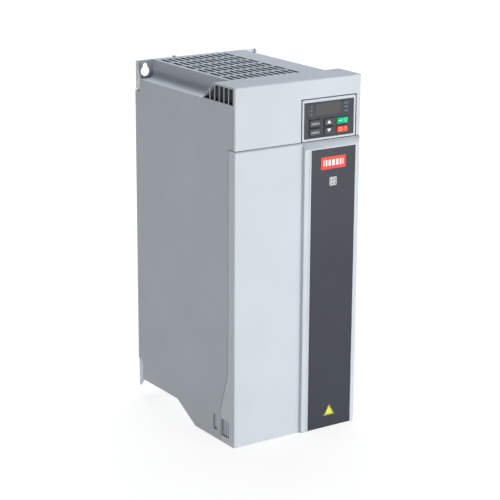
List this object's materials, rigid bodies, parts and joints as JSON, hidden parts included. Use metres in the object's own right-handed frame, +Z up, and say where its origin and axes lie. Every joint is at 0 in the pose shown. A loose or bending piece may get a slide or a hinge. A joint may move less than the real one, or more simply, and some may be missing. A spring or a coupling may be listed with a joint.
{
  "type": "variable frequency drive",
  "caption": "Wall-mounted variable frequency drive: light casing with grilled top, pull-out keypad, hinged terminal cover and internal power stage.",
  "frame": {"origin": "middle of the four wall keyholes' entry circles, on the wall plane (the back face of the wall plate)", "axes": "+X to the right seen from the front, front faces -Y, +Y into the wall, +Z up"},
  "size_m": [0.172, 0.221, 0.4211],
  "materials": {
    "casing_plastic": "matte",
    "front_plastic": "satin",
    "zinc_sheet": "galvanised",
    "sink_aluminium": "extruded",
    "black_plastic": "matte",
    "board_green": "solder mask",
    "terminal_green": "satin",
    "capacitor_sleeve": "shrink sleeve",
    "copper": "plated bar",
    "sensor_blue": "matte",
    "brass": "turned",
    "rubber": "matte",
    "ribbon_grey": "satin",
    "dark_panel": "satin",
    "red_label": "gloss",
    "white_label": "matte",
    "yellow_label": "gloss",
    "display_smoke": "smoked",
    "button_dark": "soft",
    "button_green": "soft",
    "button_red": "soft"
  },
  "bodies": {
    "root": {"main_housing": "casing_plastic", "upper_front_cover": "front_plastic", "keypad_cradle": "black_plastic", "wall_plate": "zinc_sheet", "heatsink": "sink_aluminium", "fan_tray": "zinc_sheet", "fan_frame_left": "black_plastic", "fan_frame_right": "black_plastic", "control_bracket": "zinc_sheet", "control_board": "board_green", "control_terminals": "terminal_green", "power_board": "board_green", "rectifier_module": "black_plastic", "igbt_module": "black_plastic", "capacitor_1": "capacitor_sleeve", "capacitor_2": "capacitor_sleeve", "capacitor_3": "capacitor_sleeve", "capacitor_4": "capacitor_sleeve", "capacitor_holder": "black_plastic", "busbar_plus": "copper", "busbar_minus": "copper", "busbar_u": "copper", "busbar_v": "copper", "busbar_w": "copper", "current_sensor_u": "sensor_blue", "current_sensor_w": "sensor_blue", "charge_relay": "black_plastic", "terminal_bracket": "zinc_sheet", "power_terminal_block": "black_plastic", "terminal_screws": "zinc_sheet", "earth_screws": "zinc_sheet", "board_screws": "zinc_sheet", "board_standoffs": "brass", "cable_entry_plate": "zinc_sheet", "grommet_left": "rubber", "grommet_middle": "rubber", "grommet_right": "rubber", "ribbon_cable": "ribbon_grey", "keypad_socket": "black_plastic"},
    "cover": {"terminal_cover": "front_plastic", "cover_panel": "dark_panel", "name_label": "red_label", "code_label": "white_label", "triangle_label": "yellow_label"},
    "keypad": {"keypad_frame": "front_plastic", "keypad_back": "dark_panel", "keypad_face": "dark_panel", "keypad_board": "board_green", "segment_display": "display_smoke", "keypad_plug": "black_plastic"},
    "latch_left": {"latch_left": "casing_plastic"},
    "latch_right": {"latch_right": "casing_plastic"},
    "fan_left": {"fan_rotor_left": "black_plastic"},
    "fan_right": {"fan_rotor_right": "black_plastic"},
    "button_program": {"button_program": "button_dark"},
    "button_enter": {"button_enter": "button_dark"},
    "button_up": {"button_up": "button_dark"},
    "button_down": {"button_down": "button_dark"},
    "button_run": {"button_run": "button_green"},
    "button_stop": {"button_stop": "button_red"}
  },
  "joints": [
    {"name": "cover_hinge", "type": "hinge", "parent": "root", "child": "cover", "pos_m": [0, -0.214, 0.129], "axis": [-1, 0, 0], "range_deg": [0, 45]},
    {"name": "latch_left_press", "type": "slide", "parent": "cover", "child": "latch_left", "axis": [1, 0, 0], "range_m": [0, 0.002], "stiffness_N_per_m": 2000},
    {"name": "latch_right_press", "type": "slide", "parent": "cover", "child": "latch_right", "axis": [-1, 0, 0], "range_m": [0, 0.002], "stiffness_N_per_m": 2000},
    {"name": "keypad_pull", "type": "slide", "parent": "root", "child": "keypad", "axis": [0, -1, 0], "range_m": [0, 0.03]},
    {"name": "fan_left_spin", "type": "hinge", "parent": "root", "child": "fan_left", "pos_m": [-0.031, -0.042, 0.163], "axis": [0, 0, 1], "continuous": true},
    {"name": "fan_right_spin", "type": "hinge", "parent": "root", "child": "fan_right", "pos_m": [0.031, -0.042, 0.163], "axis": [0, 0, 1], "continuous": true},
    {"name": "button_program_press", "type": "slide", "parent": "keypad", "child": "button_program", "axis": [0, 1, 0], "range_m": [0, 0.001], "stiffness_N_per_m": 1200},
    {"name": "button_enter_press", "type": "slide", "parent": "keypad", "child": "button_enter", "axis": [0, 1, 0], "range_m": [0, 0.001], "stiffness_N_per_m": 1200},
    {"name": "button_up_press", "type": "slide", "parent": "keypad", "child": "button_up", "axis": [0, 1, 0], "range_m": [0, 0.001], "stiffness_N_per_m": 1200},
    {"name": "button_down_press", "type": "slide", "parent": "keypad", "child": "button_down", "axis": [0, 1, 0], "range_m": [0, 0.001], "stiffness_N_per_m": 1200},
    {"name": "button_run_press", "type": "slide", "parent": "keypad", "child": "button_run", "axis": [0, 1, 0], "range_m": [0, 0.001], "stiffness_N_per_m": 1200},
    {"name": "button_stop_press", "type": "slide", "parent": "keypad", "child": "button_stop", "axis": [0, 1, 0], "range_m": [0, 0.001], "stiffness_N_per_m": 1200}
  ]
}
